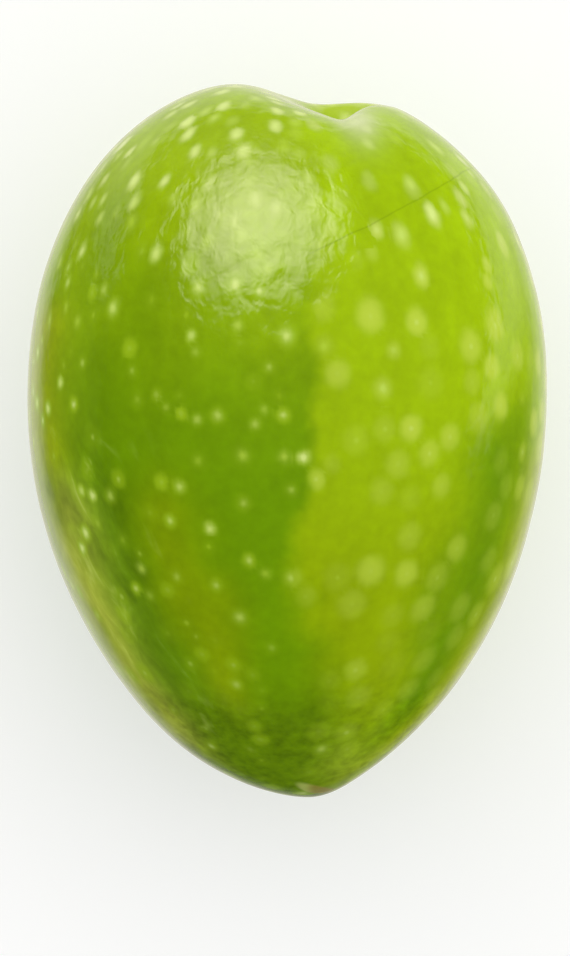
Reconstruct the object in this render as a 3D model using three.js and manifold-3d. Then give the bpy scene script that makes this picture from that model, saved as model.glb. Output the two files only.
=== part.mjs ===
// A whole green souri olive, as picked, lying on its side on a small flat spot.
// Millimetres. In the fruit's own frame +y points out of the stem end, -y out of the tip,
// x is the width and +z the side that faces up. Once it lies down +Z is up and +Y still
// points towards the stem end, with the origin under the middle of the fruit.

import * as THREE from 'three';
import { mergeVertices } from 'three/addons/utils/BufferGeometryUtils.js';
import Module from 'manifold-3d';

const { degToRad, smoothstep } = THREE.MathUtils;

// The turned shape, before the stem end is dented
const halfLength = 11.12;
const widestRadius = 8.04;
const tipTaper = 0.6;            // power of the narrowing towards the tip
const stemTaper = 0.47;          // the same towards the stem end, which is blunter

// How the flanks leave the turned shape, each at its distance along the axis from the middle
const tipLean = 0.62;            // sideways shift of the tip
const tipLeanPower = 40;         // keeps that shift to the last few millimetres
const waist = { nip: 0.056, at: 0.7, reach: 3.3 };
const shoulder = { swell: 0.1, at: 8.0, reach: 2.0 };
const sway = { size: 0.039, crest: 8.35, wave: 16.4 };

// The stem end: a broad slope and a saddle between two lobes
const stemEndStart = 2.2;        // where along the axis the stem end's own form begins
const slope = 0.042;
const saddle = { depth: 0.62, x: 0.5, width: 1.58, reach: 3.2 };

// The stem cavity, the notch in its near rim, and the corky scar of the stalk on its floor
const cavityStart = 4.45;
const cavity = { depth: 1.2, radius: 0.8, x: 1.7, z: -0.45 };
const notch = { depth: 0.8, x: 1.62, left: 0.95, right: 0.6, reach: 3.0, sharpness: 1.5 };
const scar = { rise: 0.14, radius: 0.42, edge: 0.14 };

// How it lies: level enough that its weight is over the flat spot
const stemEndRaised = degToRad(6.5);
const flatSpotDepth = 0.2;

// Fineness of the skin: rings are closest at the stem end and widest at the middle
const rings = 66;
const sectors = 64;
const stemCrowding = 0.25;
const endCrowding = 0.35;

const skin = new THREE.MeshStandardMaterial({ color: 0x93b01a, roughness: 0.36, metalness: 0 });

function bell(value, middle, width) {
  return Math.exp(-(((value - middle) / width) ** 2));
}

// Radius of the turned shape where u runs from 1 at the stem pole to -1 at the tip
function turnedRadius(u) {
  const widestU = (tipTaper - stemTaper) / (tipTaper + stemTaper);
  return widestRadius
    * ((1 + u) / (1 + widestU)) ** tipTaper
    * ((1 - u) / (1 - widestU)) ** stemTaper;
}

function notchDepth(x, z) {
  const aside = x - notch.x;
  const width = aside > 0 ? notch.right : notch.left;
  const forward = z - cavity.z;
  const across = Math.exp(-((Math.abs(aside) / width) ** notch.sharpness));
  const onNearSide = smoothstep(forward, -0.6, 0.8) * bell(Math.max(forward, 0), 0, notch.reach);
  return notch.depth * across * onNearSide;
}

function cavityDepth(x, z) {
  const away = Math.hypot(x - cavity.x, z - cavity.z);
  const scarTop = scar.rise * (1 - smoothstep(away, scar.radius - scar.edge, scar.radius + scar.edge));
  return cavity.depth * bell(away, 0, cavity.radius) - scarTop;
}

// A point of the skin at an angle theta from the stem pole and phi round the axis
function skinPoint(theta, phi) {
  const u = Math.cos(theta);
  const along = halfLength * u;
  const radius = turnedRadius(u);
  const z = radius * Math.sin(phi);
  let x = radius * Math.cos(phi);
  x += tipLean * ((1 - u) / 2) ** tipLeanPower;
  x -= waist.nip * bell(along, waist.at, waist.reach) * x / widestRadius;
  x += shoulder.swell * bell(along, shoulder.at, shoulder.reach) * smoothstep(x, 0, widestRadius);
  x += sway.size * Math.cos(2 * Math.PI * (along - sway.crest) / sway.wave);
  const towardsNearSide = bell(Math.max(z, 0), 0, saddle.reach);
  const sag = slope * x + saddle.depth * bell(x, saddle.x, saddle.width) * towardsNearSide;
  const dent = cavityDepth(x, z) + notchDepth(x, z);
  const y = along
    - sag * smoothstep(along, stemEndStart, halfLength)
    - dent * smoothstep(along, 0, cavityStart);
  return new THREE.Vector3(x, y, z);
}

function ringAngle(ring) {
  const t = ring / rings;
  return Math.PI * t
    - stemCrowding * Math.sin(Math.PI * t)
    - endCrowding / 2 * Math.sin(2 * Math.PI * t);
}

// The closed skin: a stem pole, rings of points, and a tip pole
function wholeFruit() {
  const points = [skinPoint(0, 0)];
  for (let ring = 1; ring < rings; ring += 1) {
    for (let sector = 0; sector < sectors; sector += 1) {
      points.push(skinPoint(ringAngle(ring), 2 * Math.PI * sector / sectors));
    }
  }
  points.push(skinPoint(Math.PI, 0));
  const at = (ring, sector) => 1 + (ring - 1) * sectors + (sector % sectors);
  const tipPole = points.length - 1;
  const faces = [];
  for (let sector = 0; sector < sectors; sector += 1) {
    faces.push(0, at(1, sector + 1), at(1, sector));
    for (let ring = 1; ring < rings - 1; ring += 1) {
      const [a, b] = [at(ring, sector), at(ring, sector + 1)];
      const [c, d] = [at(ring + 1, sector), at(ring + 1, sector + 1)];
      faces.push(a, b, d, a, d, c);
    }
    faces.push(tipPole, at(rings - 1, sector), at(rings - 1, sector + 1));
  }
  const geometry = new THREE.BufferGeometry().setFromPoints(points);
  geometry.setIndex(faces);
  return geometry;
}

const wasm = await Module();
wasm.setup();

function toSolid(geometry) {
  const bare = new THREE.BufferGeometry();
  bare.setAttribute('position', geometry.getAttribute('position'));
  bare.setIndex(geometry.getIndex());
  const merged = mergeVertices(bare);
  return new wasm.Manifold(new wasm.Mesh({
    numProp: 3,
    vertProperties: new Float32Array(merged.getAttribute('position').array),
    triVerts: new Uint32Array(merged.getIndex().array),
  }));
}

function toGeometry(solid) {
  const { vertProperties, triVerts } = solid.getMesh();
  const geometry = new THREE.BufferGeometry();
  geometry.setAttribute('position', new THREE.BufferAttribute(vertProperties, 3));
  geometry.setIndex(new THREE.BufferAttribute(triVerts, 1));
  return geometry;
}

// Lays the fruit down, takes the flat spot off its underside and sets it on the origin
function lyingFruit() {
  const fruit = wholeFruit().rotateX(stemEndRaised);
  fruit.computeBoundingBox();
  const surface = fruit.boundingBox.min.z + flatSpotDepth;
  const under = new THREE.BoxGeometry(4 * widestRadius, 4 * widestRadius, widestRadius);
  under.translate(0, 0, surface - widestRadius / 2);
  const geometry = toGeometry(toSolid(fruit).subtract(toSolid(under)));
  geometry.computeBoundingBox();
  const { min, max } = geometry.boundingBox;
  geometry.translate(-(min.x + max.x) / 2, -(min.y + max.y) / 2, -min.z);
  geometry.computeVertexNormals();
  return geometry;
}

const olive = new THREE.Mesh(lyingFruit(), skin);
olive.name = 'olive';

const group = new THREE.Group();
group.add(olive);

export default group;
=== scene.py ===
import math

import bpy
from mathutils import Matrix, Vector


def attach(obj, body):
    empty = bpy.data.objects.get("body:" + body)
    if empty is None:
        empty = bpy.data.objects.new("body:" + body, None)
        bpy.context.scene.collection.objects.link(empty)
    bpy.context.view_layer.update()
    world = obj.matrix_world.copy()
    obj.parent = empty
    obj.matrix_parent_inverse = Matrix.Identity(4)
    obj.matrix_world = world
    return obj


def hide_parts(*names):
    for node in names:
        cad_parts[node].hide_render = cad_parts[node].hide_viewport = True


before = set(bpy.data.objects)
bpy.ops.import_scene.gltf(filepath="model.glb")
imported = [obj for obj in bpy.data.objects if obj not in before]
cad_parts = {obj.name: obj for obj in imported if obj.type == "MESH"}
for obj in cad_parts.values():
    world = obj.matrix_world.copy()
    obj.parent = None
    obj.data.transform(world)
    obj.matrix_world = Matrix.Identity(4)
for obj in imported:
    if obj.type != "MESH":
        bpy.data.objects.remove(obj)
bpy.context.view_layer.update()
mm = 0.001
axisHeight = 7.85 * mm


# Node tree helpers

class Field:  # a value in a node tree, so that a formula reads as one
    def __init__(self, tree, socket):
        self.tree = tree
        self.socket = socket

    def __add__(self, other):
        return maths(self.tree, "ADD", self, other)

    def __radd__(self, other):
        return maths(self.tree, "ADD", other, self)

    def __sub__(self, other):
        return maths(self.tree, "SUBTRACT", self, other)

    def __rsub__(self, other):
        return maths(self.tree, "SUBTRACT", other, self)

    def __mul__(self, other):
        return maths(self.tree, "MULTIPLY", self, other)

    def __rmul__(self, other):
        return maths(self.tree, "MULTIPLY", other, self)

    def __truediv__(self, other):
        return maths(self.tree, "DIVIDE", self, other)

    def __rtruediv__(self, other):
        return maths(self.tree, "DIVIDE", other, self)

    def __pow__(self, other):
        return maths(self.tree, "POWER", self, other)


def plug(tree, value, socket):  # a field is linked, anything else is set
    if isinstance(value, Field):
        tree.links.new(value.socket, socket)
    elif value is not None:
        socket.default_value = value


def maths(tree, operation, *values):
    node = tree.nodes.new("ShaderNodeMath")
    node.operation = operation
    for socket, value in zip(node.inputs, values):
        plug(tree, value, socket)
    return Field(tree, node.outputs[0])


def vectorMaths(tree, operation, *values, output=0):
    node = tree.nodes.new("ShaderNodeVectorMath")
    node.operation = operation
    for socket, value in zip(node.inputs, values):
        plug(tree, value, socket)
    return Field(tree, node.outputs[output])


def bell(value, middle, width):  # 1 at the middle, fading over the width
    away = (value - middle) / width
    return maths(value.tree, "EXPONENT", 0.0 - away * away)


def ramp(value, low, high, toLow=0.0, toHigh=1.0):  # a smooth step
    tree = value.tree
    node = tree.nodes.new("ShaderNodeMapRange")
    node.interpolation_type = "SMOOTHSTEP"
    for name, part in (("Value", value), ("From Min", low), ("From Max", high),
                       ("To Min", toLow), ("To Max", toHigh)):
        plug(tree, part, node.inputs[name])
    return Field(tree, node.outputs["Result"])


def fall(value, low, high):  # a smooth step down
    return ramp(value, low, high, toLow=1.0, toHigh=0.0)


def patch(across, along, at):  # 1 at a place, fading round it, given as middle and width each way
    return bell(across, *at[0]) * bell(along, *at[1])


def parts(vector):  # a vector's x, y and z
    tree = vector.tree
    node = tree.nodes.new("ShaderNodeSeparateXYZ")
    plug(tree, vector, node.inputs[0])
    return [Field(tree, socket) for socket in node.outputs]


def joined(tree, x, y, z):
    node = tree.nodes.new("ShaderNodeCombineXYZ")
    for socket, value in zip(node.inputs, (x, y, z)):
        plug(tree, value, socket)
    return Field(tree, node.outputs[0])


def noise(tree, position, scale, detail=2.0, roughness=0.5, distortion=0.0):
    node = addNode(tree, "ShaderNodeTexNoise", Vector=position, Scale=scale, Detail=detail,
                   Roughness=roughness, Distortion=distortion)
    return Field(tree, node.outputs[0])


topReach = (1.5 * mm, 6.0 * mm)
combing = {"radius": 8.0 * mm, "press": 0.2}


def onTop(place, least):  # 1 on the side that faces up, fading to the least at the flanks
    return ramp(parts(place)[2] - axisHeight, *topReach, toLow=least, toHigh=1.0)


def combed(place):  # the place with its length pressed together, so that noise there runs in streaks
    tree = place.tree
    x, y, z = parts(place)
    around = vectorMaths(tree, "NORMALIZE", joined(tree, x, 0.0, z - axisHeight))
    return vectorMaths(tree, "ADD", vectorMaths(tree, "SCALE", around, None, None, combing["radius"]),
                       joined(tree, 0.0, y * combing["press"], 0.0))


def aroundAxis(x, z):  # the angle round the fruit from the top towards the right
    return maths(x.tree, "ARCTAN2", x, z - axisHeight)


# The fruit's body and where its lenticels are

bodySizes = {
    "Half Length": 11.12 * mm,
    "Widest Radius": 8.04 * mm,
    "Tip Taper": 0.6,
    "Stem Taper": 0.47,
    "Tip Lean": 0.62 * mm,
    "Tip Lean Power": 40.0,
    "Waist Nip": 0.056 * mm,
    "Waist At": 0.7 * mm,
    "Waist Reach": 3.3 * mm,
    "Shoulder Swell": 0.1 * mm,
    "Shoulder At": 8.0 * mm,
    "Shoulder Reach": 2.0 * mm,
    "Sway": 0.039 * mm,
    "Sway Crest": 8.35 * mm,
    "Sway Wave": 16.4 * mm,
    "Stem End Start": 2.2 * mm,
    "Stem Slope": 0.042,
    "Saddle Depth": 0.62 * mm,
    "Saddle X": 0.5 * mm,
    "Saddle Width": 1.58 * mm,
    "Saddle Reach": 3.2 * mm,
    "Cavity Start": 4.45 * mm,
    "Cavity Depth": 1.2 * mm,
    "Cavity Radius": 0.8 * mm,
    "Cavity X": 1.7 * mm,
    "Cavity Z": -0.45 * mm,
    "Notch Depth": 0.8 * mm,
    "Notch X": 1.62 * mm,
    "Notch Left": 0.95 * mm,
    "Notch Narrowing": 0.35 * mm,
    "Notch Reach": 3.0 * mm,
    "Notch Start": -0.6 * mm,
    "Notch Full": 0.8 * mm,
    "Notch Sharpness": 1.5,
    "Scar Rise": 0.14 * mm,
    "Scar Radius": 0.42 * mm,
    "Scar Edge": 0.14 * mm,
    "Stem End Raised": math.radians(6.5),
    "Flat Spot Depth": 0.2 * mm,
    "Tip Scar X": 0.85 * mm,
    "Tip Scar Z": 1.5 * mm,
    "Swell Height": 0.05 * mm,
    "Crease Height": 0.012 * mm,
    "Wrinkle Height": 0.035 * mm,
    "Spot Spacing": 0.5 * mm,
    "Spot Density": 2.0e6,
    "Wide Spacing": 0.84 * mm,
    "Wide Density": 1.3e6,
    "Spot Stretch": 0.45,
}
bodyMesh = {"around": 350, "along": 284, "spotSeed": 7}
reliefNoise = {"swell": 320.0, "crease": 1100.0, "wrinkle": 1500.0, "flankShare": 0.3}
spotPlaces = {
    "wideAcross": (0.4 * mm, 1.2 * mm),    # right of here the wide spots take over
    "wideAlong": (3.0 * mm, 6.5 * mm),     # and towards the stem end the small ones come back
    "crowding": 0.8,
    "stemCrowding": 0.2,
    "stemReach": (3.5 * mm, 7.5 * mm),
    "fewerOnRight": 0.25,
    "rightReach": (1.0 * mm, 4.0 * mm),
    "leastStretch": 0.25,
    "stretchReach": (2.0 * mm, 7.0 * mm),
}
skinMarks = {
    "notchSheenAt": ((2.15 * mm, 0.6 * mm), (2.9 * mm, 1.0 * mm)),
    "tipScarTurn": math.radians(51.2),
    "tipScarHalfLength": 1.0 * mm,
    "tipScarHalfWidth": 0.3 * mm,
    "tipScarEdge": (0.65, 1.05),
}


def newTree(name, sizes):
    tree = bpy.data.node_groups.new(name, "GeometryNodeTree")
    tree.is_modifier = True
    for socketName in sizes:
        tree.interface.new_socket(name=socketName, in_out="INPUT", socket_type="NodeSocketFloat")
    tree.interface.new_socket(name="Geometry", in_out="OUTPUT", socket_type="NodeSocketGeometry")
    entry = tree.nodes.new("NodeGroupInput")
    return tree, {name: Field(tree, entry.outputs[name]) for name in sizes}


def addNode(tree, kind, settings=None, **values):
    node = tree.nodes.new(kind)
    for name, value in (settings or {}).items():
        setattr(node, name, value)
    for name, value in values.items():
        plug(tree, value, node.inputs[name.replace("_", " ")])
    return node


def turnedRadius(u, size):  # of the plain turned shape, u is 1 at the stem pole and -1 at the tip
    widest = (size["Tip Taper"] - size["Stem Taper"]) / (size["Tip Taper"] + size["Stem Taper"])
    tipSide = maths(u.tree, "MAXIMUM", (1.0 + u) / (1.0 + widest), 0.0)
    stemSide = maths(u.tree, "MAXIMUM", (1.0 - u) / (1.0 - widest), 0.0)
    return size["Widest Radius"] * tipSide ** size["Tip Taper"] * stemSide ** size["Stem Taper"]


def notchDepth(x, z, size):  # the V in the near rim of the stem cavity
    tree = x.tree
    aside = x - size["Notch X"]
    onRight = maths(tree, "GREATER_THAN", aside, 0.0)
    width = size["Notch Left"] - onRight * size["Notch Narrowing"]
    aside = maths(tree, "ABSOLUTE", aside) / width
    across = maths(tree, "EXPONENT", 0.0 - aside ** size["Notch Sharpness"])
    forward = z - size["Cavity Z"]
    reach = bell(maths(tree, "MAXIMUM", forward, 0.0), 0.0, size["Notch Reach"])
    return size["Notch Depth"] * across * reach * ramp(forward, size["Notch Start"], size["Notch Full"])


def length(x, z):
    return vectorMaths(x.tree, "LENGTH", joined(x.tree, x, z, 0.0), output=1)


def stalkScar(x, z, size):  # 1 on the corky scar of the stalk
    away = length(x - size["Cavity X"], z - size["Cavity Z"])
    inner = size["Scar Radius"] - size["Scar Edge"]
    outer = size["Scar Radius"] + size["Scar Edge"]
    return fall(away, inner, outer)


def tipScar(x, z, size):  # 1 on the narrow scar of the style, beside the point
    aside = x - size["Tip Scar X"]
    above = z - size["Tip Scar Z"]
    cosine, sine = math.cos(skinMarks["tipScarTurn"]), math.sin(skinMarks["tipScarTurn"])
    along = (aside * cosine - above * sine) / skinMarks["tipScarHalfLength"]
    across = (aside * sine + above * cosine) / skinMarks["tipScarHalfWidth"]
    return fall(length(along, across), *skinMarks["tipScarEdge"])


def cavityDepth(x, z, size):
    away = length(x - size["Cavity X"], z - size["Cavity Z"])
    scarTop = size["Scar Rise"] * stalkScar(x, z, size)
    return size["Cavity Depth"] * bell(away, 0.0, size["Cavity Radius"]) - scarTop


def skinPoint(sphere, size):  # a point of a unit sphere with its pole on +z, moved to the fruit's skin
    tree = sphere.tree
    right, down, u = parts(sphere)
    ring = maths(tree, "MAXIMUM", 1.0 - u * u, 0.0) ** 0.5
    along = size["Half Length"] * u
    radius = turnedRadius(u, size)
    z = 0.0 - radius * down / ring
    x = radius * right / ring
    x = x + size["Tip Lean"] * ((1.0 - u) / 2.0) ** size["Tip Lean Power"]
    waist = bell(along, size["Waist At"], size["Waist Reach"])
    x = x - size["Waist Nip"] * waist * x / size["Widest Radius"]
    shoulder = bell(along, size["Shoulder At"], size["Shoulder Reach"])
    x = x + size["Shoulder Swell"] * shoulder * ramp(x, 0.0, size["Widest Radius"])
    turn = (along - size["Sway Crest"]) * (2 * math.pi / size["Sway Wave"])
    x = x + size["Sway"] * maths(tree, "COSINE", turn)
    nearSide = bell(maths(tree, "MAXIMUM", z, 0.0), 0.0, size["Saddle Reach"])
    saddle = size["Saddle Depth"] * bell(x, size["Saddle X"], size["Saddle Width"]) * nearSide
    sag = size["Stem Slope"] * x + saddle
    dent = cavityDepth(x, z, size) + notchDepth(x, z, size)
    y = along - sag * ramp(along, size["Stem End Start"], size["Half Length"])
    return joined(tree, x, y - dent * ramp(along, 0.0, size["Cavity Start"]), z)


def laidDown(point, tilt):  # turned about the width until the stem end is raised
    tree = point.tree
    node = addNode(tree, "ShaderNodeVectorRotate", {"rotation_type": "X_AXIS"}, Vector=point, Angle=tilt)
    return Field(tree, node.outputs[0])


def moved(tree, geometry, position=None, offset=None):
    node = addNode(tree, "GeometryNodeSetPosition", Geometry=geometry)
    if position is not None:
        plug(tree, position, node.inputs["Position"])
    if offset is not None:
        plug(tree, offset, node.inputs["Offset"])
    return Field(tree, node.outputs[0])


def stored(tree, geometry, name, value, kind):
    node = addNode(tree, "GeometryNodeStoreNamedAttribute", {"data_type": kind, "domain": "POINT"},
                   Geometry=geometry, Name=name, Value=value)
    return Field(tree, node.outputs[0])


def sampled(tree, geometry, index, value, kind):
    node = addNode(tree, "GeometryNodeSampleIndex", {"data_type": kind, "domain": "POINT"},
                   Geometry=geometry, Value=value, Index=index)
    return Field(tree, node.outputs[0])


def randomValue(tree, seed):
    node = addNode(tree, "FunctionNodeRandomValue", {"data_type": "FLOAT"}, Seed=seed)
    return Field(tree, node.outputs[1])


def relief(normal, place, size):  # the skin's slow swells, its creases along the fruit and its fine wrinkles
    tree = place.tree
    swell = (noise(tree, place, reliefNoise["swell"], detail=0.0) - 0.5) * size["Swell Height"]
    crease = (noise(tree, combed(place), reliefNoise["crease"], detail=1.0) - 0.5) * size["Crease Height"]
    wrinkle = (noise(tree, place, reliefNoise["wrinkle"], detail=1.0) - 0.5) * size["Wrinkle Height"]
    height = swell + (crease + wrinkle) * onTop(place, reliefNoise["flankShare"])
    return vectorMaths(tree, "SCALE", normal, None, None, height)


def spotOffset(place, normal, spot, size):  # from a spot's middle, for spots drawn out near the stem end
    tree = place.tree
    tilt = size["Stem End Raised"]
    axis = joined(tree, 0.0, maths(tree, "COSINE", tilt), maths(tree, "SINE", tilt))
    rise = vectorMaths(tree, "DOT_PRODUCT", axis, normal, output=1)
    meridian = vectorMaths(tree, "SUBTRACT", axis, vectorMaths(tree, "SCALE", normal, None, None, rise))
    meridian = vectorMaths(tree, "NORMALIZE", meridian)
    offset = vectorMaths(tree, "SUBTRACT", place, spot)
    along = vectorMaths(tree, "DOT_PRODUCT", offset, meridian, output=1)
    stemwards = ramp(parts(place)[1], *spotPlaces["stretchReach"])
    drawn = size["Spot Stretch"] * (spotPlaces["leastStretch"] + stemwards)
    shorter = along * (1.0 - 1.0 / (1.0 + drawn))
    return vectorMaths(tree, "SUBTRACT", offset, vectorMaths(tree, "SCALE", meridian, None, None, shorter))


def scatter(skin, spacing, density, where, gathered, turn):  # spots on the skin, at least the spacing apart
    spots = addNode(skin.tree, "GeometryNodeDistributePointsOnFaces", {"distribute_method": "POISSON"},
                    Mesh=skin, Seed=bodyMesh["spotSeed"] + turn, Distance_Min=spacing, Density_Max=density,
                    Density_Factor=where)
    skin.tree.links.new(spots.outputs["Points"], gathered.inputs[0])


def spotRoom(position):  # half the way to the next spot
    tree = position.tree
    nextOne = Field(tree, tree.nodes.new("GeometryNodeIndexOfNearest").outputs["Index"])
    there = addNode(tree, "GeometryNodeFieldAtIndex", {"data_type": "FLOAT_VECTOR", "domain": "POINT"},
                    Index=nextOne, Value=position)
    apart = vectorMaths(tree, "SUBTRACT", position, Field(tree, there.outputs[0]))
    return vectorMaths(tree, "LENGTH", apart, output=1) * 0.5


def bodyTree(size, tree):
    sphere = addNode(tree, "GeometryNodeMeshUVSphere", Segments=bodyMesh["around"],
                     Rings=bodyMesh["along"], Radius=1.0)
    position = Field(tree, tree.nodes.new("GeometryNodeInputPosition").outputs[0])
    normal = Field(tree, tree.nodes.new("GeometryNodeInputNormal").outputs[0])
    standing = skinPoint(position, size)
    x, y, z = parts(standing)
    stemHalf = maths(tree, "GREATER_THAN", y, 0.0)
    skin = Field(tree, sphere.outputs[0])
    skin = stored(tree, skin, "stalkScar", stalkScar(x, z, size) * stemHalf, "FLOAT")
    skin = stored(tree, skin, "tipScar", tipScar(x, z, size) * (1.0 - stemHalf), "FLOAT")
    # Where a pale sheen is painted below the notch.
    skin = stored(tree, skin, "paintedNotchSheen", patch(x, z, skinMarks["notchSheenAt"]) * stemHalf, "FLOAT")
    skin = moved(tree, skin, position=laidDown(standing, size["Stem End Raised"]))
    box = addNode(tree, "GeometryNodeBoundBox", Geometry=skin)
    low = parts(Field(tree, box.outputs["Min"]))
    high = parts(Field(tree, box.outputs["Max"]))
    toOrigin = joined(tree, (low[0] + high[0]) * -0.5, (low[1] + high[1]) * -0.5,
                      0.0 - low[2] - size["Flat Spot Depth"])
    skin = moved(tree, skin, offset=toOrigin)
    skin = moved(tree, skin, offset=relief(normal, position, size))
    x, y, z = parts(position)
    skin = moved(tree, skin, position=joined(tree, x, y, maths(tree, "MAXIMUM", z, 0.0)))
    return spotted(tree, skin, position, normal, size)


def spotted(tree, skin, position, normal, size):  # with each point's nearest spot, kept as attributes
    x, y, z = parts(position)
    wide = ramp(x, *spotPlaces["wideAcross"]) * fall(y, *spotPlaces["wideAlong"])
    crowded = spotPlaces["crowding"] + ramp(y, *spotPlaces["stemReach"]) * spotPlaces["stemCrowding"]
    crowded = crowded * (1.0 - ramp(x, *spotPlaces["rightReach"]) * spotPlaces["fewerOnRight"])
    points = addNode(tree, "GeometryNodeJoinGeometry")
    scatter(skin, size["Spot Spacing"], size["Spot Density"], crowded * (1.0 - wide), points, 0)
    scatter(skin, size["Wide Spacing"], size["Wide Density"], wide, points, 1)
    points = Field(tree, points.outputs[0])
    nearest = addNode(tree, "GeometryNodeSampleNearest", {"domain": "POINT"}, Geometry=points)
    index = Field(tree, nearest.outputs[0])
    offset = spotOffset(position, normal, sampled(tree, points, index, position, "FLOAT_VECTOR"), size)
    apart = vectorMaths(tree, "LENGTH", offset, output=1)
    skin = stored(tree, skin, "spotOffset", offset, "FLOAT_VECTOR")
    skin = stored(tree, skin, "spotApart", apart, "FLOAT")
    skin = stored(tree, skin, "spotRoom", sampled(tree, points, index, spotRoom(position), "FLOAT"), "FLOAT")
    for seed, name in enumerate(("spotSize", "spotKind", "spotTone")):
        drawn = sampled(tree, points, index, randomValue(tree, seed), "FLOAT")
        skin = stored(tree, skin, name, drawn, "FLOAT")
    return skin


def grownFruit(material):
    tree, size = newTree("oliveBody", bodySizes)
    skin = bodyTree(size, tree)
    shaded = addNode(tree, "GeometryNodeSetShadeSmooth", Geometry=skin)
    whole = addNode(tree, "GeometryNodeRealizeInstances", Geometry=Field(tree, shaded.outputs[0]))
    dressed = addNode(tree, "GeometryNodeSetMaterial", Geometry=Field(tree, whole.outputs[0]))
    dressed.inputs["Material"].default_value = material
    exitNode = tree.nodes.new("NodeGroupOutput")
    tree.links.new(dressed.outputs[0], exitNode.inputs[0])

    fruit = bpy.data.objects.new("oliveSkin", bpy.data.meshes.new("oliveSkin"))
    bpy.context.scene.collection.objects.link(fruit)
    modifier = fruit.modifiers.new("body", "NODES")
    modifier.node_group = tree
    for item in tree.interface.items_tree:
        if item.in_out == "INPUT":
            modifier[item.identifier] = bodySizes[item.name]
    depsgraph = bpy.context.evaluated_depsgraph_get()
    grown = bpy.data.meshes.new_from_object(fruit.evaluated_get(depsgraph), depsgraph=depsgraph)
    fruit.modifiers.remove(modifier)
    fruit.data = grown
    grown.name = "oliveSkin"
    return fruit


# The skin's material

def attribute(tree, name, output):
    node = tree.nodes.new("ShaderNodeAttribute")
    node.attribute_name = name
    return Field(tree, node.outputs[output])


def mixed(tree, factor, first, second):
    node = tree.nodes.new("ShaderNodeMix")
    node.data_type = "RGBA"
    plug(tree, factor, node.inputs[0])
    plug(tree, first, node.inputs[6])
    plug(tree, second, node.inputs[7])
    return Field(tree, node.outputs[2])


def linear(red, green, blue):  # a colour given on a 0 to 255 scale
    channels = [channel / 255 for channel in (red, green, blue)]
    return tuple(c / 12.92 if c <= 0.04045 else ((c + 0.055) / 1.055) ** 2.4 for c in channels) + (1.0,)


skinLook = {
    "leftStem": linear(150, 180, 2),
    "leftMiddle": linear(110, 152, 0),
    "leftTip": linear(97, 130, 0),
    "rightStem": linear(157, 189, 2),
    "rightLow": linear(146, 172, 0),
    "rightTip": linear(134, 160, 0),
    "paleTip": linear(158, 180, 44),
    "creaseHighlight": linear(178, 188, 96),
    "leftDisc": linear(154, 188, 24),
    "rightDisc": linear(188, 210, 66),
    "sheenedDisc": linear(194, 211, 112),
    "core": linear(212, 230, 132),
    "dimCore": linear(176, 208, 36),
    "scarHighlight": linear(178, 188, 100),
    "brownScar": linear(150, 134, 62),
    "notchSheen": linear(206, 216, 158),
    "farRim": linear(182, 206, 60),
    "cork": linear(128, 104, 66),
    "scratch": linear(104, 134, 0),
    "roughness": 0.13,
    "ior": 1.45,
}
bands = {  # angle from the top towards the right, half the angle, the two ends, colour and strength
    # The dusky bands are darker stripes along the fruit, partly darker skin and partly painted shade.
    "duskyRight": (57, 12, -9.0 * mm, 0.9 * mm, linear(104, 145, 0), 0.95),
    "duskyRightLow": (45, 8, -6.0 * mm, -3.0 * mm, linear(108, 146, 0), 0.6),
    "yellowLeft": (-30, 9, -5.6 * mm, -1.2 * mm, linear(136, 160, 0), 0.7),
    "yellowLeftLow": (-22, 9, -8.0 * mm, -4.6 * mm, linear(140, 162, 0), 0.7),
    "seamLeft": (-44, 7, -7.5 * mm, -1.0 * mm, linear(84, 122, 0), 0.5),
    "duskyLeft": (-47, 9, -1.5 * mm, 3.0 * mm, linear(92, 128, 0), 0.55),
    "duskyLeftRim": (-49, 9, 3.4 * mm, 7.2 * mm, linear(112, 146, 0), 0.6),
    "duskyLeftHigh": (-33, 9, 2.4 * mm, 5.4 * mm, linear(100, 136, 0), 0.5),
    "lightMiddle": (-4, 9, 2.8 * mm, 6.5 * mm, linear(154, 188, 4), 0.5),
    # The pale edge bands are partly paler skin and partly a painted sheen, the bright surroundings mirrored
    # at the rims.
    "paleEdgeAndSheen": (-71, 12, -1.5 * mm, 3.8 * mm, linear(160, 176, 10), 0.88),
    "paleEdgeAndSheenLow": (-67, 14, -9.5 * mm, -1.5 * mm, linear(164, 174, 60), 0.85),
    "paleEdgeAndSheenRight": (76, 9, -9.5 * mm, -0.5 * mm, linear(164, 180, 24), 0.85),
}
colourAndLightLook = {
    "cloudScale": 190.0,
    "blotchScale": 520.0,
    "streakScale": 600.0,
    "grainScale": 3000.0,
    "cloudShift": 3.0 * mm,              # how far the clouds move a change of colour along the fruit
    "leftStem": (-2.0 * mm, 8.5 * mm),   # the stretch along which the colour changes
    "leftTip": (-9.0 * mm, -6.6 * mm),
    "rightStem": (-6.0 * mm, 1.0 * mm),
    "rightTip": (-10.0 * mm, -6.5 * mm),
    "bandSoft": 1.0 * mm,
    "bandTurn": 0.3,
    "bandShare": 0.95,
    "bandBlotch": 0.9,
    "paleTip": 0.6,
    "paleTipAt": ((2.1 * mm, 1.0 * mm), (-10.1 * mm, 0.8 * mm)),
    "streak": 0.4,
    "blotch": 0.3,
    "grain": 0.25,
    "tipGrain": 0.75,
    "tipReach": (-9.0 * mm, -7.0 * mm),
}
flankEdge = {  # where the darker left flank meets the lighter right one; the difference is partly the skin's own colour and partly painted light and shade
    "across": 0.8 * mm,
    "soft": 0.35 * mm,
    "lowSoft": 1.2 * mm,
    "lowReach": (-8.0 * mm, -1.5 * mm),
    "tipDrift": 1.3 * mm,
    "tipReach": (-9.5 * mm, -5.5 * mm),
    "bend": 0.6 * mm,
    "bendAt": (-3.6 * mm, 1.8 * mm),
    "blotch": 1.6 * mm,
    "cloud": 1.5 * mm,
}
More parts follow.
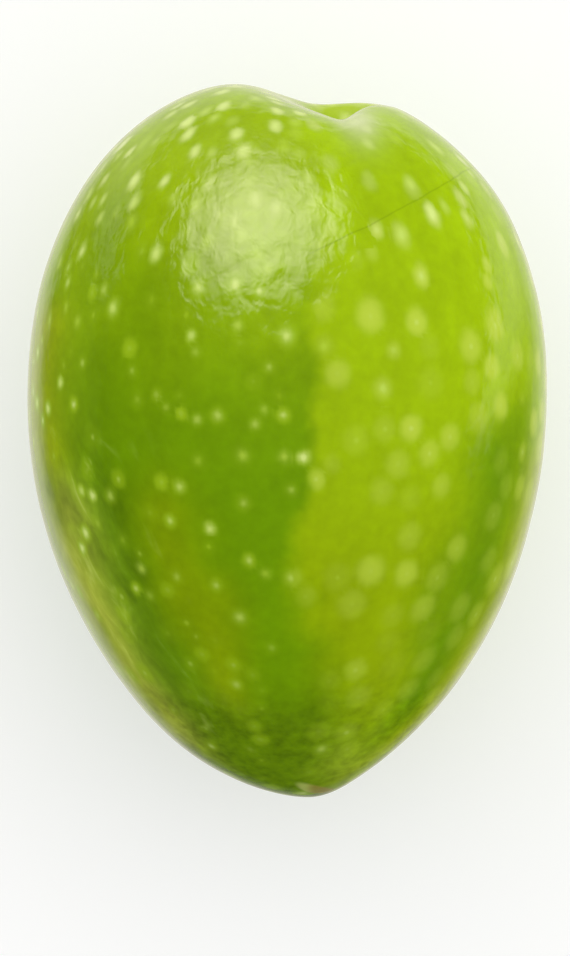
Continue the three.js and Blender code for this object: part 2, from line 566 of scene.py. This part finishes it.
creaseLook = {  # the slanting creases on the lower left edge, drawn in the colour only, with painted highlights along them and painted shade between
    "angle": -56,
    "halfAngle": 18,
    "ends": (-9.0 * mm, 0.0),
    "soft": 1.5 * mm,
    "slant": (0.87, 0.5),
    "drawnOut": 0.3,
    "downwards": 0.6,
    "scale": 1500.0,
    "paleReach": (0.06, 0.24),
    "pale": 0.4,
    "depth": 1.5,
    "blotch": 0.5,
}


def scaled(colour, factor):
    return vectorMaths(colour.tree, "SCALE", colour, None, None, factor)


def between(value, low, high, soft):
    return ramp(value, low - soft, low + soft) * fall(value, high - soft, high + soft)


def onRightFlank(x, y, cloud, blotch):
    low = fall(y, *flankEdge["lowReach"])
    soft = flankEdge["soft"] + low * flankEdge["lowSoft"]
    drift = ramp(y, *flankEdge["tipReach"], toLow=flankEdge["tipDrift"], toHigh=0.0)
    drift = drift - bell(y, *flankEdge["bendAt"]) * flankEdge["bend"]
    aside = x - flankEdge["across"] - drift
    aside = aside + blotch * flankEdge["blotch"] + cloud * flankEdge["cloud"] * low
    return ramp(aside, 0.0 - soft, soft)


def flankColours(tree, level):  # of the left and of the right flank, each lighter towards the stem end and darker towards the tip, partly painted light and shade
    left = mixed(tree, ramp(level, *colourAndLightLook["leftStem"]), skinLook["leftMiddle"], skinLook["leftStem"])
    left = mixed(tree, ramp(level, *colourAndLightLook["leftTip"]), skinLook["leftTip"], left)
    right = mixed(tree, ramp(level, *colourAndLightLook["rightStem"]), skinLook["rightLow"], skinLook["rightStem"])
    right = mixed(tree, ramp(level, *colourAndLightLook["rightTip"]), skinLook["rightTip"], right)
    return left, right


def banded(colour, around, level, blotch):
    patchy = colourAndLightLook["bandShare"] + blotch * colourAndLightLook["bandBlotch"]
    for angle, half, lowEnd, highEnd, bandColour, strength in bands.values():
        band = bell(around, math.radians(angle), math.radians(half))
        band = band * between(level, lowEnd, highEnd, colourAndLightLook["bandSoft"])
        colour = mixed(colour.tree, band * patchy * strength, colour, bandColour)
    return colour


def slantingCrease(place):
    tree = place.tree
    x, y, z = parts(place)
    cosine, sine = creaseLook["slant"]
    along = (x * sine - y * cosine) * creaseLook["drawnOut"]
    slanting = joined(tree, x * cosine + y * sine, along, z * creaseLook["downwards"])
    return noise(tree, slanting, creaseLook["scale"], detail=3.0, roughness=0.6, distortion=0.5) - 0.5


def colourAndLight(place):  # the ground colour, in two flanks, bands along the fruit and clouds, with painted light and shade among the flanks, bands and creases
    tree = place.tree
    x, y, z = parts(place)
    cloud = noise(tree, place, colourAndLightLook["cloudScale"], detail=3.0) - 0.5
    blotch = noise(tree, place, colourAndLightLook["blotchScale"], detail=3.0) - 0.5
    streak = noise(tree, combed(place), colourAndLightLook["streakScale"], detail=3.0) - 0.5
    grain = noise(tree, place, colourAndLightLook["grainScale"], detail=2.0) - 0.5
    level = y + cloud * colourAndLightLook["cloudShift"]
    around = aroundAxis(x, z) + cloud * colourAndLightLook["bandTurn"]
    side = onRightFlank(x, y, cloud, blotch)
    colour = mixed(tree, side, *flankColours(tree, level))
    colour = banded(colour, around, level, blotch)
    paleTip = patch(x, y, colourAndLightLook["paleTipAt"]) * colourAndLightLook["paleTip"]
    colour = mixed(tree, paleTip, colour, skinLook["paleTip"])

    grainy = colourAndLightLook["grain"] + fall(level, *colourAndLightLook["tipReach"]) * colourAndLightLook["tipGrain"]
    shade = 1.0 + streak * colourAndLightLook["streak"] + blotch * colourAndLightLook["blotch"] + grain * grainy
    creased = bell(around, math.radians(creaseLook["angle"]), math.radians(creaseLook["halfAngle"]))
    creased = creased * between(y, *creaseLook["ends"], creaseLook["soft"])
    crease = slantingCrease(place)
    # Pale streaks are painted highlights on the creases, and the crease part of the mottle is painted shade.
    pale = creased * ramp(crease, *creaseLook["paleReach"]) * creaseLook["pale"]
    colour = mixed(tree, pale, colour, skinLook["creaseHighlight"])
    mottle = crease * creaseLook["depth"] + blotch * creaseLook["blotch"]
    return scaled(colour, shade + mottle * creased), side


spotLook = {
    "nearReach": (0.09 * mm, 0.14 * mm),  # nearer, the offset's own length is the smoother one
    "wobble": 0.12 * mm,
    "wobbleScale": 2600.0,
    "leastRoom": (0.21 * mm, 0.25 * mm),
    "stemShoulderReach": (4.5 * mm, 8.5 * mm),
    "lowReach": (-6.5 * mm, -0.5 * mm),
    "tipShare": 0.6,
    "tipReach": (-8.5 * mm, -3.0 * mm),
    "duskyFade": 0.6,
    "duskyAngle": 55,
    "duskyHalfAngle": 20,
    "duskyReach": (-0.5 * mm, 1.5 * mm),
    "glossyFade": 0.75,
    "glossyAt": ((-0.8 * mm, 1.9 * mm), (7.2 * mm, 1.7 * mm)),
    "dottedShare": 0.72,                  # of the spots on the left flank, and how it changes elsewhere
    "fewerDotsOnRight": 0.52,
    "fewerDotsLow": 0.5,
    "moreDotsOnStemShoulder": 0.2,
    "dottedSoft": 0.03,
}
discLook = {
    "radius": 0.28 * mm,
    "spread": 0.13 * mm,
    "dotted": 0.06 * mm,                  # how much smaller round a dot, and on the right larger without
    "stemShoulderShrink": 0.35,
    "roomShare": 0.85,
    "least": 0.14,
    "strength": 0.75,
    "toneReach": (0.05, 0.8),             # up to the first a spot hardly shows, from the second in full
    "fainterOnLeft": 0.2,
    "fainterOnStemShoulder": (0.15, 0.2),
    "fainterLow": 0.25,
}
coreLook = {
    "radius": 0.075 * mm,
    "dotted": 0.01 * mm,
    "spread": 0.06 * mm,
    "stemShoulder": 0.03 * mm,
    "least": 0.1,
    "largeReach": (0.6, 0.8),
    "large": 0.3,
    "dottedLeast": 0.1,
    "tone": 0.7,
    "fainterLow": 0.3,
}


def fromSpot(place):  # how far the nearest spot's middle is, with an uneven edge
    tree = place.tree
    apart = attribute(tree, "spotApart", "Fac")
    near = vectorMaths(tree, "LENGTH", attribute(tree, "spotOffset", "Vector"), output=1)
    far = ramp(apart, *spotLook["nearReach"])
    wobble = noise(tree, place, spotLook["wobbleScale"], detail=1.0) - 0.5
    return near + far * (apart - near) + wobble * spotLook["wobble"]


def spotFading(x, y, z, room):  # spots fade at the tip, on the dusky band, where the highlight falls and where crowded; the fading under the highlight is painted, standing in for the highlight washing them out
    angle, half = math.radians(spotLook["duskyAngle"]), math.radians(spotLook["duskyHalfAngle"])
    dusky = bell(aroundAxis(x, z), angle, half) * fall(y, *spotLook["duskyReach"])
    glossy = patch(x, y, spotLook["glossyAt"])
    faded = ramp(y, *spotLook["tipReach"], toLow=spotLook["tipShare"], toHigh=1.0)
    faded = faded * ramp(room, *spotLook["leastRoom"])
    return faded * (1.0 - dusky * spotLook["duskyFade"]) * (1.0 - glossy * spotLook["glossyFade"])


def spotFields(place, side):  # all that a spot's disc and its core depend on
    tree = place.tree
    x, y, z = parts(place)
    spot = {name: attribute(tree, name, "Fac") for name in ("spotSize", "spotKind", "spotTone", "spotRoom")}
    spot["away"] = fromSpot(place)
    spot["faded"] = spotFading(x, y, z, spot["spotRoom"])
    spot["stemShoulder"] = ramp(y, *spotLook["stemShoulderReach"])
    spot["low"] = fall(y, *spotLook["lowReach"])
    kind = spot["spotKind"] - spotLook["dottedShare"] + side * spotLook["fewerDotsOnRight"]
    kind = kind + spot["low"] * spotLook["fewerDotsLow"] - spot["stemShoulder"] * spotLook["moreDotsOnStemShoulder"]
    spot["dotted"] = fall(kind, 0.0 - spotLook["dottedSoft"], spotLook["dottedSoft"])
    return spot


def spotDiscs(colour, side, spot):  # the soft pale discs
    tree = colour.tree
    stemShoulder, low, dotted = spot["stemShoulder"], spot["low"], spot["dotted"]
    radius = discLook["radius"] + spot["spotSize"] * discLook["spread"] - dotted * discLook["dotted"]
    radius = radius + (1.0 - dotted) * (side + low) * discLook["dotted"]
    radius = radius * (1.0 - stemShoulder * discLook["stemShoulderShrink"])
    radius = maths(tree, "MINIMUM", radius, spot["spotRoom"] * discLook["roomShare"])
    disc = bell(spot["away"] ** 2.0, 0.0, radius ** 2.0)
    leastTone = discLook["toneReach"][0] + (1.0 - side) * discLook["fainterOnLeft"]
    leastTone = leastTone + stemShoulder * discLook["fainterOnStemShoulder"][0]
    fullTone = discLook["toneReach"][1] + stemShoulder * discLook["fainterOnStemShoulder"][1]
    shown = ramp(spot["spotTone"], leastTone, fullTone) * (1.0 - low * discLook["fainterLow"])
    strength = disc * spot["faded"] * (discLook["least"] + shown * discLook["strength"])
    discColour = mixed(tree, side, skinLook["leftDisc"], skinLook["rightDisc"])
    # On the stem shoulder the discs are paler and whiter, partly a painted sheen.
    discColour = mixed(tree, stemShoulder, discColour, skinLook["sheenedDisc"])
    return mixed(tree, strength, colour, discColour)


def spotCores(colour, spot):  # the small bright dots in their middles
    tree = colour.tree
    size, tone, dotted = spot["spotSize"], spot["spotTone"], spot["dotted"]
    radius = coreLook["radius"] + dotted * (coreLook["dotted"] + size * coreLook["spread"])
    radius = radius + spot["stemShoulder"] * dotted * coreLook["stemShoulder"]
    bright = dotted * (coreLook["dottedLeast"] + tone * coreLook["tone"])
    bright = bright * (1.0 - spot["low"] * coreLook["fainterLow"])
    bright = coreLook["least"] + ramp(size, *coreLook["largeReach"]) * coreLook["large"] + bright
    coreColour = mixed(tree, tone, skinLook["dimCore"], skinLook["core"])
    return mixed(tree, bell(spot["away"], 0.0, radius) * bright * spot["faded"], colour, coreColour)


scarAndSheenLook = {
    "tip": 0.75,
    "brownReach": (0.5 * mm, 0.9 * mm),
    "farRim": 0.75,
    "farRimAt": ((1.8 * mm, 1.9 * mm), (-0.6 * mm, 1.4 * mm)),
    "farRimReach": (8.4 * mm, 10.0 * mm),
    "corkScale": 5200.0,
    "corkDarkest": 0.6,
    "corkGrain": 0.8,
    "notchSheen": 0.9,
}
scratchLook = {
    "start": (0.4 * mm, 5.28 * mm),
    "rise": 0.554,
    "bow": 0.17 * mm,
    "bowMiddle": 3.1 * mm,
    "bowHalf": 2.7 * mm,
    "waver": 0.2 * mm,
    "waverScale": 700.0,
    "width": 0.03 * mm,
    "reach": (0.7 * mm, 5.6 * mm),
    "soft": 0.3 * mm,
    "strength": 0.35,
}


def scarsAndSheen(place, colour):
    tree = place.tree
    x, y, z = parts(place)
    # The pale end of the tip scar is a painted highlight; the brown end is the scar's own colour.
    tipColour = mixed(tree, ramp(x, *scarAndSheenLook["brownReach"]), skinLook["scarHighlight"], skinLook["brownScar"])
    colour = mixed(tree, attribute(tree, "tipScar", "Fac") * scarAndSheenLook["tip"], colour, tipColour)
    farRim = patch(x, z - axisHeight, scarAndSheenLook["farRimAt"]) * ramp(y, *scarAndSheenLook["farRimReach"])
    colour = mixed(tree, farRim * scarAndSheenLook["farRim"], colour, skinLook["farRim"])
    cork = tree.nodes.new("ShaderNodeRGB").outputs[0]
    cork.default_value = skinLook["cork"]
    grain = noise(tree, place, scarAndSheenLook["corkScale"], detail=2.0)
    corkColour = scaled(Field(tree, cork), scarAndSheenLook["corkDarkest"] + grain * scarAndSheenLook["corkGrain"])
    colour = mixed(tree, attribute(tree, "stalkScar", "Fac"), colour, corkColour)
    colour = mixed(tree, scratch(place) * scratchLook["strength"], colour, skinLook["scratch"])
    # A pale painted sheen below the notch, a reflection of the bright surroundings.
    return mixed(tree, attribute(tree, "paintedNotchSheen", "Fac") * scarAndSheenLook["notchSheen"], colour, skinLook["notchSheen"])


def scratch(place):  # 1 on the thin scratch over the right shoulder
    tree = place.tree
    x, y, z = parts(place)
    startX, startY = scratchLook["start"]
    bow = (x - scratchLook["bowMiddle"]) / scratchLook["bowHalf"]
    line = y - startY - (x - startX) * scratchLook["rise"] - bow * bow * scratchLook["bow"]
    waver = noise(tree, place, scratchLook["waverScale"], detail=2.0) - 0.5
    line = line + waver * scratchLook["waver"]
    drawn = bell(line, 0.0, scratchLook["width"]) * between(x, *scratchLook["reach"], scratchLook["soft"])
    return drawn * maths(tree, "GREATER_THAN", z, axisHeight)


bumpLook = {
    "crumpleScale": 2200.0,
    "crumpleHeight": 0.05 * mm,
    "lengthwise": 0.7,
    "tipShare": 0.35,
    "tipReach": (0.5 * mm, 4.5 * mm),
    "hairScale": 3400.0,
    "hairHeight": 0.006 * mm,
    "flankShare": 0.1,
}


def skinBump(place):  # in metres
    tree = place.tree
    x, y, z = parts(place)
    pressed = joined(tree, x, y * bumpLook["lengthwise"], z)
    crumple = noise(tree, pressed, bumpLook["crumpleScale"], detail=2.0, roughness=0.45, distortion=0.3) - 0.5
    share = ramp(y, *bumpLook["tipReach"], toLow=bumpLook["tipShare"], toHigh=1.0)
    hair = (noise(tree, combed(place), bumpLook["hairScale"], detail=1.0) - 0.5) * bumpLook["hairHeight"]
    return (crumple * share * bumpLook["crumpleHeight"] + hair) * onTop(place, bumpLook["flankShare"])


def skinMaterial():
    material = bpy.data.materials.new("oliveSkin")
    material.use_nodes = True
    tree = material.node_tree
    shader = tree.nodes["Principled BSDF"]
    shader.inputs["Roughness"].default_value = skinLook["roughness"]
    shader.inputs["IOR"].default_value = skinLook["ior"]
    place = Field(tree, tree.nodes.new("ShaderNodeTexCoord").outputs["Object"])
    colour, side = colourAndLight(place)
    spot = spotFields(place, side)
    colour = spotCores(spotDiscs(colour, side, spot), spot)
    plug(tree, scarsAndSheen(place, colour), shader.inputs["Base Color"])
    bump = tree.nodes.new("ShaderNodeBump")
    bump.inputs["Distance"].default_value = 1.0
    bump.inputs["Strength"].default_value = 1.0
    plug(tree, skinBump(place), bump.inputs["Height"])
    tree.links.new(bump.outputs[0], shader.inputs["Normal"])
    return material


olive = grownFruit(skinMaterial())
print("body grown:", len(olive.data.polygons), "faces")


# Floor, light and camera

studio = {
    "floorRadius": 0.6,
    "floorRoughness": 0.7,
    "floorShade": 0.7,
    "floorGlow": 0.32,
    "lampDistance": 0.5,
    "lampEdge": 2.3,           # a lamp goes dark at its width divided by this from its middle
    "lampFalloff": 1.5,
    "warmth": (1.0, 0.86, 0.8),
    "floorWarmth": (1.0, 0.94, 0.85),
    "glow": 1.0,
    "glowLean": (0.2, 0.35, 0.0),
    "leastGlow": 0.05,
    "skySeen": 0.95,
}
mirrorLook = {
    "near": 0.9,
    "far": 0.02,
    "middle": (-1.4 * mm, 1.4 * mm),
    "squash": 0.88,
    "nearReach": 11.2 * mm,
    "farReach": 17.4 * mm,
    "farther": 0.33,                       # how much more for each metre to the upper right
    "upperRight": (0.8, 0.6),
    "tipShare": 0.5,
    "tipReach": (-16.0 * mm, -9.0 * mm),
    "behind": 0.75,
    "behindWay": (0.26, 0.966),
    "behindReach": (11.0 * mm, 24.0 * mm),
    "behindSoft": 4.0 * mm,
}
photoView = {
    "lens": 250.0,
    "sensor": 36.0,
    "frameHeight": 29.415 * mm,
    "middle": (-0.06 * mm, -1.108 * mm, axisHeight),
}
lamps = (  # each with its azimuth, elevation, width, height and brightness
    ("window", 105, 38, 0.84, 0.76, 8.6),
    ("backdrop", 100, 6, 0.6, 0.24, 1.6),
)


def floorInMirror(tree):  # how bright the skin mirrors the floor: near the fruit, and behind it
    look = mirrorLook
    x, y, z = parts(Field(tree, tree.nodes.new("ShaderNodeTexCoord").outputs["Object"]))
    upperRight = maths(tree, "MAXIMUM", x * look["upperRight"][0] + y * look["upperRight"][1], 0.0)
    reach = look["farReach"] + upperRight * look["farther"]
    away = length(x - look["middle"][0], (y - look["middle"][1]) * look["squash"])
    near = ramp(away, look["nearReach"], reach, toLow=look["near"], toHigh=look["far"])
    near = near * ramp(y, *look["tipReach"], toLow=look["tipShare"], toHigh=1.0)
    backwards = x * look["behindWay"][0] + y * look["behindWay"][1]
    behind = between(backwards, *look["behindReach"], look["behindSoft"]) * look["behind"]
    return maths(tree, "MAXIMUM", near, behind)


def plainFloor():
    bpy.ops.mesh.primitive_circle_add(vertices=96, radius=studio["floorRadius"], fill_type="NGON")
    floor = bpy.context.object
    floor.name = "floor"
    material = bpy.data.materials.new("paleFloor")
    material.use_nodes = True
    tree = material.node_tree
    shader = tree.nodes["Principled BSDF"]
    mirrored = Field(tree, tree.nodes.new("ShaderNodeLightPath").outputs["Is Glossy Ray"])
    shader.inputs["Roughness"].default_value = studio["floorRoughness"]
    warmth = (*studio["floorWarmth"], 1.0)
    plug(tree, mixed(tree, mirrored, (1.0, 1.0, 1.0, 1.0), warmth), shader.inputs["Emission Color"])
    shade = (1.0 - mirrored) * studio["floorShade"]
    plug(tree, joined(tree, shade, shade, shade), shader.inputs["Base Color"])
    glow = studio["floorGlow"]
    plug(tree, glow + mirrored * (floorInMirror(tree) - glow), shader.inputs["Emission Strength"])
    floor.data.materials.append(material)


def studioLamp(name, azimuth, elevation, width, height, brightness):
    light = bpy.data.lights.new(name, "AREA")
    light.shape = "ELLIPSE"
    light.size, light.size_y = width, height
    light.energy = brightness * math.pi * width * height * math.pi / 4
    light.color = studio["warmth"]
    light.use_nodes = True
    tree = light.node_tree
    across = Field(tree, tree.nodes.new("ShaderNodeNewGeometry").outputs["Parametric"])
    across = vectorMaths(tree, "SUBTRACT", across, (0.5, 0.5, 0.0))
    fromMiddle = vectorMaths(tree, "LENGTH", across, output=1)
    falloff = 1.0 - (fromMiddle * studio["lampEdge"]) ** studio["lampFalloff"]
    falloff = maths(tree, "MAXIMUM", falloff, 0.0)
    plug(tree, falloff, tree.nodes["Emission"].inputs["Strength"])
    lamp = bpy.data.objects.new(name, light)
    bpy.context.scene.collection.objects.link(lamp)
    azimuth, elevation = math.radians(azimuth), math.radians(elevation)
    level = math.cos(elevation)
    towards = Vector((level * math.cos(azimuth), level * math.sin(azimuth), math.sin(elevation)))
    lamp.location = towards * studio["lampDistance"]
    lamp.rotation_euler = towards.to_track_quat("Z", "Y").to_euler()
    lamp.visible_camera = False
    lamp.visible_diffuse = False


def skyGlow():  # soft light from all round, a little stronger from behind the stem end and the right
    world = bpy.data.worlds.new("studio")
    world.use_nodes = True
    bpy.context.scene.world = world
    tree = world.node_tree
    direction = Field(tree, tree.nodes.new("ShaderNodeTexCoord").outputs["Generated"])
    lean = vectorMaths(tree, "DOT_PRODUCT", direction, studio["glowLean"], output=1)
    lit = maths(tree, "MAXIMUM", lean + studio["glow"], studio["leastGlow"])
    seen = Field(tree, tree.nodes.new("ShaderNodeLightPath").outputs["Is Camera Ray"])
    background = tree.nodes["Background"]
    background.inputs["Color"].default_value = (1.0, 1.0, 1.0, 1.0)
    plug(tree, lit + seen * (studio["skySeen"] - lit), background.inputs["Strength"])
    world.cycles_visibility.glossy = False


def photoCamera():
    camera = bpy.data.cameras.new("camera")
    camera.lens = photoView["lens"]
    camera.sensor_width = photoView["sensor"]
    camera.clip_start = 0.01
    camera.clip_end = 10.0
    body = bpy.data.objects.new("camera", camera)
    bpy.context.scene.collection.objects.link(body)
    distance = photoView["frameHeight"] * photoView["lens"] / photoView["sensor"]
    body.location = Vector(photoView["middle"]) + Vector((0.0, 0.0, distance))
    bpy.context.scene.camera = body


plainFloor()
for lamp in lamps:
    studioLamp(*lamp)
skyGlow()
photoCamera()
bpy.context.scene.view_settings.view_transform = "Standard"
print("studio set")

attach(olive, "root")
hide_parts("olive")
